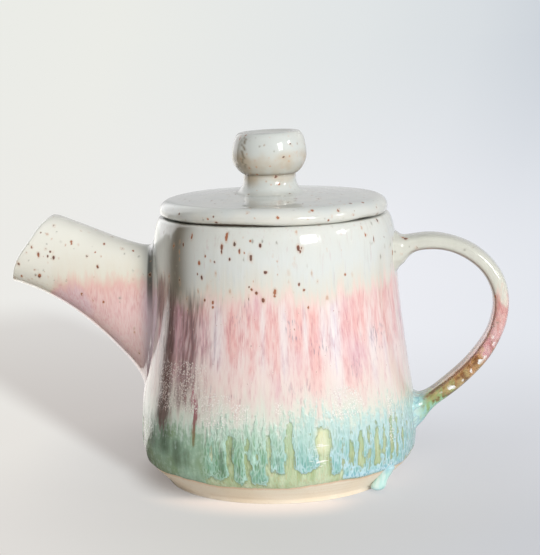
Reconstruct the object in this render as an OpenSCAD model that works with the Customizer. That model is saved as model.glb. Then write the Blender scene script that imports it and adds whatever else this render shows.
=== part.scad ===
// Wheel-thrown stoneware teapot: a thrown body with a pierced strainer, a lofted spout,
// a pulled strap handle, a bead of run glaze, and a lid of plate, locating ring and knob.
// The foot stands on Z = 0 with its centre at the origin. The spout points to -X.

/* [Body] */
// Radius of the body at its widest
belly_r = 58; // [54:0.5:64]
// Height of the widest place above the table
belly_h = 19.5; // [16:0.5:26]
// Height of the rim above the table
body_h = 111.5; // [104:0.5:122]
// Radius where the upright wall turns in to the rim
shoulder_r = 51; // [49:0.5:54]
// Depth of the rounded shoulder below the rim
shoulder_h = 16.5; // [10:0.5:22]
// How far the rim, where the flat land for the lid ends, stands in from the shoulder
rim_in = 3.7; // [2.5:0.1:6]
// Thickness of the thrown wall
wall = 4.5; // [3.5:0.1:6]

/* [Mouth] */
// Width of the flat land between the mouth and the rim
land_w = 5.8; // [4:0.1:8]
// Depth of the straight throat of the mouth
throat_h = 4; // [2.5:0.5:7]

/* [Foot] */
// Radius of the foot where it meets the table
foot_r = 47.5; // [42:0.5:51]
// How far the top of the bare bevel, where the glaze stops, stands in from the belly
bevel_in = 3; // [1.5:0.5:6]
// Height of the bare bevel
bevel_h = 8; // [5:0.5:11]
// Rounding of the sharp edge that stands on the table
foot_edge = 0.8; // [0.3:0.1:1.5]
// Width of the ring that is left round the turned recess
foot_ring_w = 8; // [5:0.5:14]
// Depth of the turned recess in the base
foot_recess = 1.6; // [0.8:0.1:3]
// Thickness of the floor
floor_t = 6; // [4:0.5:8]
// Rounding of the inside corner between floor and wall
floor_round = 15; // [8:0.5:22]

/* [Strainer] */
// Diameter of each strainer hole
strainer_d = 5; // [3:0.5:5.5]
// Distance between strainer holes
strainer_pitch = 7.5; // [6.5:0.5:8]
// Rows of strainer holes
strainer_rows = 5; // [3:1:5]
// Depth of the middle row below the top of the spout's root
strainer_drop = 27.4; // [24:0.2:32]

/* [Spout] */
// How far the lower lip reaches out past the belly
spout_out = 53.6; // [40:0.5:62]
// Height of the upper lip above the rim of the body
lip_over_rim = 1.1; // [0:0.1:8]
// Height of the lip from its lower to its upper edge
lip_h = 28; // [22:0.5:33]
// How far the upper lip is drawn back from the lower lip
lip_lean = 15.8; // [8:0.2:20]
// Width of the spout across the lip
lip_w = 24.5; // [20:0.5:30]
// Width of the spout where it meets the body
root_w = 33; // [28:0.5:36]
// Depth of the top of the spout's root below the rim of the body
root_high_drop = 13.1; // [11:0.1:19]
// Height above the table that the lower edge of the root is aimed at, inside the wall
root_low_h = 36; // [30:0.5:42]
// How deep the roots of spout and handle are aimed inside the body before they are trimmed to it
seat_depth = 7.5; // [5:0.5:9]
// Wall of the spout
spout_wall = 3.6; // [2.6:0.1:4.5]
// Rounding of the lip
lip_round = 1.1; // [0.5:0.1:1.2]
// How much the spout swells on every side where it meets the body
spout_flare = 2.2; // [0.5:0.1:3]
// Length over which the spout swells
spout_flare_len = 9; // [6:0.5:14]

/* [Handle] */
// How far the outside of the handle stands out past the belly
handle_out = 39.2; // [32:0.5:48]
// Depth of the upper root below the rim of the body, inside the wall
handle_high_drop = 22; // [18.5:0.5:26]
// Depth of the place that stands out farthest below the rim of the body
handle_mid_drop = 38; // [32:0.5:46]
// Height of the lower root above the table, inside the wall
handle_low_h = 23.5; // [21:0.5:34]
// Thickness of the strap
strap_t = 6.8; // [5:0.1:9]
// Width of the strap
strap_w = 15; // [12:0.5:20]
// How much the strap thickens above and below where it meets the body
strap_flare = 4.5; // [2:0.1:5]
// How much the strap widens on each side where it meets the body
strap_flare_side = 2.6; // [1:0.1:4]
// Length over which the strap thickens and widens
strap_flare_len = 9; // [6:0.5:14]

/* [Lid] */
// How far the lid plate stands out past the rim
lid_out = 0.3; // [0:0.1:2.5]
// Thickness of the lid plate at its edge
lid_t = 6.8; // [5:0.1:9]
// Rise of the lid plate from its edge to its middle
lid_crown = 1.7; // [0.5:0.1:4]
// Rounding of the lower edge of the lid plate
lid_under_round = 2; // [0.8:0.1:2.4]
// Height of the upright stretch between the two rounded edges
lid_edge_flat = 0.4; // [0.2:0.1:2]
// How far the rounded upper edge reaches in over the plate
lid_over_reach = 5.4; // [3:0.1:10]
// Gap between the lid plate and the land that it rests on
seat_gap = 0.3; // [0.2:0.05:0.8]

/* [Locating ring] */
// Clearance between the locating ring and the mouth
ring_clearance = 1; // [0.5:0.1:2]
// Thickness of the locating ring
ring_t = 4; // [3:0.1:6]
// Height of the locating ring below the lid plate
ring_h = 9; // [6:0.5:14]
// Rounding of the free edge of the locating ring
ring_round = 1.2; // [0.5:0.1:1.4]

/* [Knob] */
// Radius of the knob at its widest
knob_r = 15.4; // [13:0.1:18]
// Height of the knob above the lid plate
knob_h = 26; // [22:0.5:30]
// Radius of the neck
neck_r = 10.9; // [8:0.1:12.5]
// Radius of the base of the knob
knob_base_r = 16.6; // [13:0.1:19]
// Height of the neck above the lid plate
neck_h = 6.6; // [5:0.1:7]
// Height of the widest place of the knob above the lid plate
knob_wide_h = 15.7; // [14:0.1:17]
// Radius of the flat top of the knob
knob_top_r = 11.4; // [9:0.1:12.5]
// Depth of the dish in the top of the knob
knob_dish = 1.2; // [0.4:0.1:2]
// How far the knob sits off the centre of the lid towards the spout
knob_offset = 1.4; // [0:0.1:3]

/* [Glaze drip] */
// How far the middle of the top of the drip lies in from the edge of the bevel
drip_top_in = 0.4; // [0:0.1:1.5]
// Height of the middle of the top of the drip above the edge of the bevel
drip_top_over = 2; // [0:0.1:3]
// Radius of the drip at its top
drip_top_size = 2.6; // [2:0.1:3.2]
// How far the middle of the bead at the end of the drip lies out past the foot
drip_end_out = 3.9; // [2.5:0.1:5]
// Height of the middle of the bead at the end of the drip
drip_end_h = 4.1; // [4:0.1:6]
// Radius of the bead
drip_end_size = 3.3; // [2.6:0.1:3.6]
// Direction of the top of the drip, from +X round to the front
drip_top_angle = 30; // [24:1:36]
// Direction of the bead, from +X round to the front
drip_end_angle = 36; // [28:1:42]

/* [Hidden] */

// Overrun of cuts
cut = 2;
// Facets of round forms
round_fn = 96;
// Facets of the small hulled drip
drip_fn = 24;
// Steps along each stretch of a profile
steps = 8;
// Stations along the spout and sides of its sections
spout_steps = 16;
spout_sides = 32;
// Stations along each half of the handle and sides of its sections
handle_steps = 14;
handle_sides = 24;
// Fullness of the spout's and the strap's sections: 2 is an ellipse
spout_fullness = 2.4;
strap_fullness = 2.5;

// Handles of the curves, as shares of the stretch that each curve spans
belly_handle_shares = [0.17, 0.43];
wall_handle_shares = [0.27, 0.67];
spout_top_shares = [[0.33, 0.20], [0.67, 1.17]];
spout_low_shares = [[0.42, 0.15], [0.70, 0.52]];
handle_upper_shares = [[0.34, 0.30], [0, 0.34]];
handle_lower_shares = [[0, -0.28], [0.64, 0.25]];
knob_under_shares = [[0, 0.18], [1, 0.48]];
knob_over_shares = [[0, 0.40], [0.22, 0.96]];

shoulder_z = body_h - shoulder_h;
rim_r = shoulder_r - rim_in;
mouth_r = rim_r - land_w;
bevel_r = belly_r - bevel_in;
floor_z = foot_recess + floor_t;
root_high_h = body_h - root_high_drop;
strainer_h = root_high_h - strainer_drop;
handle_high_h = body_h - handle_high_drop;
handle_mid_h = body_h - handle_mid_drop;
lid_z = body_h + seat_gap;
lid_r = rim_r + lid_out;
lid_over_round = lid_t - lid_under_round - lid_edge_flat;
lid_top_z = lid_z + lid_t + lid_crown;
ring_r = mouth_r - ring_clearance;

// Point of a cubic curve
function bez(p, t) = pow(1 - t, 3) * p[0] + 3 * pow(1 - t, 2) * t * p[1]
    + 3 * (1 - t) * t * t * p[2] + pow(t, 3) * p[3];
// A cubic curve from a to b with its handles given as shares of the way in each direction
function span(a, b, shares) = [a,
    [a[0] + (b[0] - a[0]) * shares[0][0], a[1] + (b[1] - a[1]) * shares[0][1]],
    [a[0] + (b[0] - a[0]) * shares[1][0], a[1] + (b[1] - a[1]) * shares[1][1]], b];
function curve(p, n, first = 0) = [for (i = [first:n]) bez(p, i / n)];
// Part of an ellipse about c with the half axes a and b
function arc(c, a, b, from, to, n = steps) =
    [for (i = [0:n]) let (q = from + (to - from) * i / n) c + [a * cos(q), b * sin(q)]];
function mix(a, b, t) = a + (b - a) * t;
function unit(v) = v / norm(v);
function signed_pow(x, e) = sign(x) * pow(abs(x), e);
// How far a root has swelled at a distance from the wall: 1 at the wall, 0 from length on
function swell(away, length) = pow(max(0, 1 - max(0, away) / length), 2);

// The upright wall from belly to shoulder, set in from its outer face
function wall_curve(inset) =
    let (top = shoulder_z, low = belly_h, out = belly_r - inset, in = shoulder_r - inset)
    [[out, low], [out, mix(low, top, wall_handle_shares[0])],
     [in, mix(low, top, wall_handle_shares[1])], [in, top]];
function belly_curve() =
    let (rise = belly_h - bevel_h, turn = rise * belly_handle_shares[0])
    [[bevel_r, bevel_h], [bevel_r + turn, bevel_h + turn],
     [belly_r, belly_h - rise * belly_handle_shares[1]], [belly_r, belly_h]];

// Outer outline of the body from the foot to the rim
outline = concat(
    [[foot_r - foot_edge, 0], [foot_r, foot_edge]],
    curve(belly_curve(), steps),
    curve(wall_curve(0), 2 * steps, first = 1),
    arc([rim_r, shoulder_z], shoulder_r - rim_r, shoulder_h, 90 / steps, 90));

// Inside of the body from the middle of the floor up through the mouth
hollow_outline = concat(
    [[0, floor_z]],
    arc([belly_r - wall - floor_round, belly_h], floor_round, belly_h - floor_z, -90, 0),
    curve(wall_curve(wall), 2 * steps, first = 1),
    arc([mouth_r, shoulder_z], shoulder_r - wall - mouth_r, shoulder_h - throat_h, 90 / steps, 90),
    [[mouth_r, body_h + cut], [0, body_h + cut]]);

// The body without its hollow, to which the roots of spout, handle and drip are trimmed
module body_form() {
    rotate_extrude($fn = round_fn) polygon(concat([[0, 0]], outline, [[0, body_h]]));
}

// A closed loft through rings of the same number of points
module loft(rings) {
    n = len(rings[0]);
    last = (len(rings) - 1) * n;
    polyhedron(
        points = [for (ring = rings) each ring],
        faces = concat(
            [[for (i = [0:n - 1]) i]],
            [[for (i = [n - 1:-1:0]) last + i]],
            [for (k = [0:len(rings) - 2], i = [0:n - 1]) let (j = (i + 1) % n)
                [k * n + i, (k + 1) * n + i, k * n + j]],
            [for (k = [0:len(rings) - 2], i = [0:n - 1]) let (j = (i + 1) % n)
                [k * n + j, (k + 1) * n + i, (k + 1) * n + j]]));
}

// A rounded section that spans half_v along the direction up in the XZ plane and half_y along Y
function section(centre, up, half_v, half_y, fullness, sides) =
    [for (i = [0:sides - 1])
        let (a = 360 * i / sides,
             v = half_v * signed_pow(sin(a), 2 / fullness),
             y = half_y * signed_pow(cos(a), 2 / fullness))
        [centre[0] + up[0] * v, y, centre[1] + up[1] * v]];

// Rows of holes through the wall behind the spout, two and three in turn
module strainer_holes() {
    for (row = [0:strainer_rows - 1]) {
        holes = row % 2 == 0 ? 2 : 3;
        for (i = [0:holes - 1])
            translate([0, (i - (holes - 1) / 2) * strainer_pitch,
                       strainer_h + (row - (strainer_rows - 1) / 2) * strainer_pitch])
                rotate([0, -90, 0])
                    cylinder(d = strainer_d, h = max(belly_r, shoulder_r) + cut, $fn = round_fn / 4);
    }
}

module pot_body() {
    color("#e6cfc6")
    difference() {
        body_form();
        rotate_extrude($fn = round_fn) polygon(hollow_outline);
        translate([0, 0, -cut])
            cylinder(r = foot_r - foot_ring_w, h = foot_recess + cut, $fn = round_fn);
        strainer_holes();
    }
}

lip_high = [-(belly_r + spout_out - lip_lean), body_h + lip_over_rim];
lip_low = lip_high - [lip_lean, lip_h];
spout_top = span(lip_high, [-(shoulder_r - seat_depth), root_high_h], spout_top_shares);
spout_low = span(lip_low, [-(belly_r - seat_depth), root_low_h], spout_low_shares);
spout_axis_len = norm((lip_high + lip_low) / 2 - (spout_top[3] + spout_low[3]) / 2);
lip_share = lip_round / spout_axis_len;
lip_up = unit(lip_high - lip_low);
lip_out = [-lip_up[1], lip_up[0]];

// Section of the spout a share t of the way from lip to root, set in from its plain outer face
function spout_section(t, inset, shift = [0, 0]) =
    let (high = bez(spout_top, t), low = bez(spout_low, t), up = unit(high - low))
    section((high + low) / 2 + shift, up, norm(high - low) / 2 - inset,
            mix(lip_w, root_w, t * t) / 2 - inset, spout_fullness, spout_sides);
function spout_swell(t) = spout_flare
    * swell(-(bez(spout_top, t)[0] + bez(spout_low, t)[0]) / 2 - shoulder_r, spout_flare_len);

module spout() {
    color("#e9dcd2")
    difference() {
        loft(concat(
            [spout_section(0, lip_round)],
            [for (i = [0:spout_steps]) let (t = mix(lip_share, 1, i / spout_steps))
                spout_section(t, -spout_swell(t))]));
        loft(concat(
            [spout_section(0, spout_wall - lip_round, lip_out * cut)],
            [spout_section(0, spout_wall - lip_round)],
            [for (i = [0:spout_steps]) spout_section(mix(lip_share, 1, i / spout_steps), spout_wall)],
            [spout_section(1, spout_wall, [cut, 0])]));
        body_form();
    }
}

handle_far = [belly_r + handle_out - strap_t / 2, handle_mid_h];
handle_high = [shoulder_r - seat_depth, handle_high_h];
handle_low = [belly_r - seat_depth, handle_low_h];
// The handle's curves lean out from their ends by shares of the handle's reach and height
function lean(place, root, shares) = place
    + [shares[0] * (handle_far[0] - root[0]), shares[1] * (handle_high_h - handle_low_h)];
handle_upper = [handle_high, lean(handle_high, handle_high, handle_upper_shares[0]),
    lean(handle_far, handle_high, handle_upper_shares[1]), handle_far];
handle_lower = [handle_far, lean(handle_far, handle_low, handle_lower_shares[0]),
    lean(handle_low, handle_low, handle_lower_shares[1]), handle_low];
handle_line = concat(
    curve(handle_upper, handle_steps),
    curve(handle_lower, handle_steps, first = 1));

// How far the strap has swelled at a place along its line
function strap_swell(i) =
    swell(handle_line[i][0] - (i < handle_steps ? shoulder_r : belly_r), strap_flare_len);

module handle() {
    last = len(handle_line) - 1;
    color("#dfd3c6")
    difference() {
        loft([for (i = [0:last])
            let (along = unit(handle_line[min(i + 1, last)] - handle_line[max(i - 1, 0)]),
                 swelled = strap_swell(i))
            section(handle_line[i], [-along[1], along[0]],
                    strap_t / 2 + strap_flare * swelled,
                    strap_w / 2 + strap_flare_side * swelled, strap_fullness, handle_sides)]);
        body_form();
    }
}

// A place at a distance from the axis, turned from +X towards the front
function round_place(r, angle, h) = [r * cos(angle), -r * sin(angle), h];

module glaze_drip() {
    color("#8fd3cb")
    difference() {
        hull() {
            translate(round_place(bevel_r - drip_top_in, drip_top_angle, bevel_h + drip_top_over))
                sphere(r = drip_top_size, $fn = drip_fn);
            translate(round_place(foot_r + drip_end_out, drip_end_angle, drip_end_h))
                sphere(r = drip_end_size, $fn = drip_fn);
        }
        body_form();
    }
}

module lid_plate() {
    color("#dfe4e0")
    rotate_extrude($fn = round_fn)
        polygon(concat(
            [[0, lid_z]],
            arc([lid_r - lid_under_round, lid_z + lid_under_round],
                lid_under_round, lid_under_round, -90, 0),
            arc([lid_r - lid_over_reach, lid_z + lid_t - lid_over_round],
                lid_over_reach, lid_over_round, 0, 90),
            [[knob_base_r + knob_offset, lid_top_z], [0, lid_top_z]]));
}

module lid_flange() {
    low_z = lid_z - ring_h;
    color("#e2c9ab")
    rotate_extrude($fn = round_fn)
        polygon(concat(
            [[ring_r, lid_z], [ring_r - ring_t, lid_z]],
            arc([ring_r - ring_t + ring_round, low_z + ring_round], ring_round, ring_round, 180, 270),
            arc([ring_r - ring_round, low_z + ring_round], ring_round, ring_round, 270, 360)));
}

module knob() {
    flare_out = knob_base_r - neck_r;
    color("#d9dbd3")
    translate([-knob_offset, 0, lid_top_z])
        rotate_extrude($fn = round_fn)
            polygon(concat(
                [[0, 0]],
                arc([knob_base_r, neck_h], flare_out, neck_h, 270, 180),
                curve(span([neck_r, neck_h], [knob_r, knob_wide_h], knob_under_shares),
                      steps, first = 1),
                curve(span([knob_r, knob_wide_h], [knob_top_r, knob_h], knob_over_shares),
                      steps, first = 1),
                arc([0, knob_h], knob_top_r, knob_dish, -90 / steps, -90)));
}

pot_body();
spout();
handle();
glaze_drip();
lid_plate();
lid_flange();
knob();
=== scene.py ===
"""Looks for a thrown stoneware teapot whose glazes run from speckled white through pink to turquoise."""
import math
import random

import bpy
import numpy as np
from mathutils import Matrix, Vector


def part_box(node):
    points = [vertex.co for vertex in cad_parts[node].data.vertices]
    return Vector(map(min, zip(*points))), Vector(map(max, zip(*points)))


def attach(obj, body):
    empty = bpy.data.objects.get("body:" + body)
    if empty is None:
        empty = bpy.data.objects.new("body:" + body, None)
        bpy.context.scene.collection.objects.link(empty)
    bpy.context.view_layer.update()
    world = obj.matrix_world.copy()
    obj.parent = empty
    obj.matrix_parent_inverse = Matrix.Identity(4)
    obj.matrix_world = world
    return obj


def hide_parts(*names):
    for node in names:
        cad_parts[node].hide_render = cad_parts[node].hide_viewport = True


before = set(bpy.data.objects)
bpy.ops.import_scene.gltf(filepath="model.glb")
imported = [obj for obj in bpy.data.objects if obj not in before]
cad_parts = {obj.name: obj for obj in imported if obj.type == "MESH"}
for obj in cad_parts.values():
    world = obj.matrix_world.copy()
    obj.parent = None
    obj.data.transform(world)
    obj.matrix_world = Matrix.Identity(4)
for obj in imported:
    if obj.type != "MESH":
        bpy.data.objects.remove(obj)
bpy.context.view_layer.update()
bpy.ops.object.select_all(action="DESELECT")

MM = 0.001

# Camera, at the place and angle that the photograph was taken from
camera_place = (50.8 * MM, -674.7 * MM, 193.5 * MM)
camera_pitch = 9.17
camera_swing = 4.5
camera_roll = -1.375
camera_lens = 105.9

# The paper's painted light and shade are placed by distance from the camera, and the painted long shadow by
# its direction
camera_away = 0.675
shadow_cos, shadow_sin = 0.857, 0.515

# Body of the pot
belly_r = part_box("pot_body")[1].x
body_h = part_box("pot_body")[1].z
belly_h = 19.5 * MM
shoulder_r = 51 * MM
shoulder_h = body_h - 16.5 * MM
rim_r = 47.3 * MM
mouth_r = 41.5 * MM
throat_h = 4 * MM
wall = 4.5 * MM
foot_r = 47.5 * MM
foot_edge = 0.8 * MM
foot_ring_w = 8 * MM
foot_recess = 1.6 * MM
bevel_r = 55 * MM
bevel_h = 8 * MM
floor_h = 7.6 * MM
floor_round = 15 * MM
pot_sides = 432

# Strainer behind the spout
strainer_d = 5 * MM
strainer_pitch = 7.5 * MM
strainer_h = 71 * MM
strainer_rows = (2, 3, 2, 3, 2)

# Spout
lip_low = (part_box("spout")[0].x, 84.6 * MM)
lip_high = (-95.8 * MM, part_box("spout")[1].z)
lip_w = 24.5 * MM
root_w = 33 * MM
root_high = (-43.5 * MM, 98.4 * MM)
root_low = (-50.5 * MM, 36 * MM)
spout_wall = 3.6 * MM
spout_top_bend = ((-78.8 * MM, 109.7 * MM), (-61 * MM, 96 * MM))
spout_under_bend = ((-85.5 * MM, 77.4 * MM), (-68.7 * MM, 59.1 * MM))
spout_flare = 2.2 * MM
spout_flare_len = 9 * MM
spout_fullness = 2.4
spout_fillet = 2.6 * MM
lip_swell = 1.6 * MM
lip_round = 2.2 * MM

# Handle
handle_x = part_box("handle")[1].x
strap_t = 6.8 * MM
strap_w = 15 * MM
strap_high = (43.5 * MM, 89.5 * MM)
strap_mid_h = 73.5 * MM
strap_low = (50.5 * MM, 23.5 * MM)
strap_flare = 2.8 * MM
strap_flare_side = 1.6 * MM
strap_flare_len = 9 * MM
strap_fullness = 3
strap_fillet = 2.4 * MM

# Lid, locating ring and knob
lid_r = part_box("lid_plate")[1].x
lid_low_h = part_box("lid_plate")[0].z
lid_top_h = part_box("lid_plate")[1].z
lid_t = 6.8 * MM
ring_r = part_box("lid_flange")[1].x
ring_low_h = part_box("lid_flange")[0].z
ring_t = 4 * MM
knob_x = (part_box("knob")[0].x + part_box("knob")[1].x) / 2
knob_top_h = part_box("knob")[1].z

# Glaze, in mm like the heights and distances that its formulas work in
glaze_t = 0.45
glaze_inset = 0.35
glaze_edge_h = 9.6
rivulet_t = 0.38
roll_t = 0.75
wall_sway = 0.16
throwing_ring_t = 0.03

# Drip, where it leaves the pot and how far and which way it leans
drip_x = 41.8 * MM
drip_y = -30 * MM
drip_gap = 0.85 * MM
drip_lean = 4.9 * MM
drip_way = math.radians(-10)


def tint(code):
    """A colour written as six hexadecimal digits, as Blender's linear colour."""
    parts = [int(code[i:i + 2], 16) / 255 for i in (0, 2, 4)]
    return (*[p / 12.92 if p < 0.04045 else ((p + 0.055) / 1.055) ** 2.4 for p in parts], 1)


def bezier(a, b, c, d, count, first=0):
    """Points of a cubic curve in one plane."""
    a, b, c, d = map(np.array, (a, b, c, d))
    ts = [i / count for i in range(first, count + 1)]
    return [tuple((1 - t) ** 3 * a + 3 * (1 - t) ** 2 * t * b + 3 * (1 - t) * t * t * c + t ** 3 * d)
            for t in ts]


def elbow(centre, across, up, start, end, count):
    """Points of part of an ellipse, its angles in degrees."""
    angles = [math.radians(start + (end - start) * i / count) for i in range(count + 1)]
    return [(centre[0] + across * math.cos(a), centre[1] + up * math.sin(a)) for a in angles]


def line(a, b, count):
    """Points from a up to but not at b."""
    return [(a[0] + (b[0] - a[0]) * i / count, a[1] + (b[1] - a[1]) * i / count) for i in range(count)]


def soft_step(value, low, high):
    """0 below low, 1 above high and smooth between."""
    t = np.clip((value - low) / (high - low), 0, 1)
    return t * t * (3 - 2 * t)


def wall_points(inset, count):
    """The upright wall from belly to shoulder, set in from its outer face."""
    out, top_r, rise = belly_r - inset, shoulder_r - inset, shoulder_h - belly_h
    return bezier((out, belly_h), (out, belly_h + 0.27 * rise), (top_r, belly_h + 0.67 * rise),
                  (top_r, shoulder_h), count)


def belly_points(count):
    """The turn from the top of the bevel to the widest place."""
    rise = belly_h - bevel_h
    lean = 0.17 * rise
    return bezier((bevel_r, bevel_h), (bevel_r + lean, bevel_h + lean), (belly_r, belly_h - 0.43 * rise),
                  (belly_r, belly_h), count)


outer_face = np.array([(foot_r, foot_edge), *belly_points(60), *wall_points(0, 200)[1:],
                       *elbow((rim_r, shoulder_h), shoulder_r - rim_r, body_h - shoulder_h, 2, 90, 60)])


def wall_radius(height):
    """Radius of the outer face of the pot at a height."""
    return np.interp(height, outer_face[:, 1], outer_face[:, 0])


# Modelling by hand: each form starts from a primitive and is shaped in edit mode

def close_form(piece, smooth_angle=40):
    """Merges doubles, points the faces outwards, leaves edit mode and shades the piece smooth."""
    bpy.ops.mesh.select_all(action="SELECT")
    bpy.ops.mesh.remove_doubles(threshold=0.01 * MM)
    bpy.ops.mesh.normals_make_consistent(inside=False)
    bpy.ops.mesh.select_all(action="DESELECT")
    bpy.ops.object.mode_set(mode="OBJECT")
    bpy.ops.object.shade_smooth_by_angle(angle=math.radians(smooth_angle))
    piece.select_set(False)
    return piece


def turn(degrees, axis, centre):
    """Turns what is selected about an axis through centre, anticlockwise seen from the axis's far end."""
    bpy.ops.transform.rotate(value=-math.radians(degrees), orient_axis=axis, center_override=centre)


def apply_modifier(piece, kind, **settings):
    """Adds a modifier with these settings and applies it."""
    bpy.context.view_layer.objects.active = piece
    modifier = piece.modifiers.new(kind.title(), kind)
    for key, value in settings.items():
        setattr(modifier, key, value)
    bpy.ops.object.modifier_apply(modifier=modifier.name)


def thrown(name, outline, sides, x=0):
    """A form turned on the wheel: an outline of radius and height, spun about an upright axis."""
    bpy.ops.mesh.primitive_plane_add(size=MM, location=(0, 0, 0))
    piece = bpy.context.object
    piece.name = name
    bpy.ops.object.mode_set(mode="EDIT")
    bpy.ops.mesh.select_all(action="SELECT")
    bpy.ops.mesh.merge(type="CENTER")
    bpy.ops.transform.translate(value=(x + outline[0][0], 0, outline[0][1]))
    for (r, z), (next_r, next_z) in zip(outline, outline[1:]):
        bpy.ops.mesh.extrude_vertices_move(TRANSFORM_OT_translate={"value": (next_r - r, 0, next_z - z)})
    bpy.ops.mesh.select_all(action="SELECT")
    bpy.ops.mesh.spin(steps=sides, angle=math.tau, center=(x, 0, 0), axis=(0, 0, 1))
    return close_form(piece)


def drawn(name, sides, fullness, stations):
    """A form drawn out through stations of centre in X and Z, tilt in degrees, half height and half width."""
    (x, z), tilt, half_up, half_side = stations[0]
    bpy.ops.mesh.primitive_circle_add(vertices=sides, radius=1, fill_type="NOTHING", location=(0, 0, 0))
    piece = bpy.context.object
    piece.name = name
    for v in piece.data.vertices:
        v.co = (0, math.copysign(abs(v.co.x) ** (2 / fullness), v.co.x),
                math.copysign(abs(v.co.y) ** (2 / fullness), v.co.y))
    bpy.ops.object.mode_set(mode="EDIT")
    bpy.ops.mesh.select_all(action="SELECT")
    bpy.ops.transform.resize(value=(1, half_side, half_up), center_override=(0, 0, 0))
    turn(tilt, "Y", (0, 0, 0))
    bpy.ops.transform.translate(value=(x, 0, z))
    for (next_x, next_z), next_tilt, next_up, next_side in stations[1:]:
        bpy.ops.mesh.extrude_edges_move()
        turn(-tilt, "Y", (x, 0, z))
        bpy.ops.transform.resize(value=(1, next_side / half_side, next_up / half_up),
                                 center_override=(x, 0, z))
        turn(next_tilt, "Y", (x, 0, z))
        bpy.ops.transform.translate(value=(next_x - x, 0, next_z - z))
        x, z, tilt, half_up, half_side = next_x, next_z, next_tilt, next_up, next_side
    return piece


def places(piece):
    """The piece's points as rows of x, y and z."""
    flat = np.empty(len(piece.data.vertices) * 3)
    piece.data.vertices.foreach_get("co", flat)
    return flat.reshape(-1, 3)


def put_places(piece, points):
    """Moves the piece's points to new places."""
    piece.data.vertices.foreach_set("co", points.ravel())
    piece.data.update()


def give(piece, name, values):
    """Stores one number for each point, for the piece's material to read."""
    layer = piece.data.attributes.new(name, "FLOAT", "POINT")
    layer.data.foreach_set("value", np.ascontiguousarray(values, dtype=np.float32))


def angle_round(points, middle=0):
    """Each point's angle in degrees round an upright axis at a place along X, from the handle's side."""
    return np.degrees(np.arctan2(points[:, 1], points[:, 0] - middle))


def sway(angle, waves):
    """A slow hand-made unevenness round the pot: a sum of waves, each a count, a height and a start."""
    return sum(h * np.sin(np.radians(n * angle + start)) for n, h, start in waves)


def join_to_wall(piece, side, height, reach, fillet):
    """Draws the clay of a root out over the wall of the pot in a round fillet, away from the root's middle.

    The root lies on one side of the pot, 1 or -1 along X, within reach of its height."""
    points = places(piece)
    away = np.hypot(points[:, 0], points[:, 1]) - wall_radius(points[:, 2])
    near = np.clip(1 - away / fillet, 0, 1)
    spread = fillet * (1 - np.sqrt(1 - near ** 2))
    out = points.copy()
    out[:, 0] = 0
    out[:, 2] -= height
    length = np.maximum(np.linalg.norm(out, axis=1), MM)
    mine = (points[:, 0] * side > 0) & (np.abs(points[:, 2] - height) < reach)
    points += out / length[:, None] * (spread * mine)[:, None]
    put_places(piece, points)


# Where the glazes lie on the pot: angles in degrees from the handle, -86 towards the camera, sizes in mm

# Rivulets of turquoise: angle, half width, height of the end
rivulets = [(-121, 1.5, 15.5), (-115, 1.7, 13), (-110, 3.2, 11.6), (-101.6, 2.7, 11), (-96, 1.5, 10.8),
            (-92.8, 2.2, 10.4), (-87.9, 1.3, 16.5), (-85.5, 2.3, 15.4), (-79, 1.4, 18.5), (-76.2, 2.7, 15),
            (-72.6, 1.9, 17), (-62.8, 2.4, 13.4), (-58, 1.5, 12), (-53.5, 1.8, 11.5), (-49, 1.5, 11.5),
            (-45, 1.9, 11.5), (-40.4, 1.7, 11.5), (-36, 1.8, 11.5), (-31.4, 1.6, 11.5), (-27, 1.9, 11.5),
            (-22, 2.4, 12), (-17, 2.7, 11.5), (-12, 2.6, 12.5), (-6.5, 2.8, 11.5)]

# Height in mm to which the turquoise reaches, and to which the pink does, at angles round the pot
turquoise_top = [(-180, 34), (-160, 30), (-143, 28), (-128, 29.5), (-117, 31), (-98, 35), (-87, 33.4),
                 (-76, 38), (-68, 38), (-56, 33.5), (-40, 36), (-19, 34), (10, 32), (50, 37), (90, 33),
                 (130, 37), (180, 34)]
pink_top = [(-180, 86), (-146, 82), (-138, 86), (-130, 80), (-121, 83.5), (-111, 85), (-101, 84), (-94, 89),
            (-86, 84), (-82, 87), (-76, 83), (-66, 83), (-56, 86), (-45, 87), (-34, 85), (-27, 87), (-18, 90),
            (-8, 87), (20, 85), (60, 91), (100, 84), (150, 90), (180, 86)]

# Bare olive windows between the rivulets: angle, half width, bottom, top
windows = [(-81.8, 2.1, 14, 36), (-67, 2.2, 12, 21), (-56, 0.9, 17, 31), (-51.2, 1.9, 14.5, 28),
           (-47.2, 1.2, 17, 27), (-42.8, 2, 14, 30), (-38.4, 1.3, 18, 29), (-33.8, 1.1, 17, 31),
           (-105.6, 1.2, 13, 31), (-98.6, 1, 13, 30)]

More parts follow.
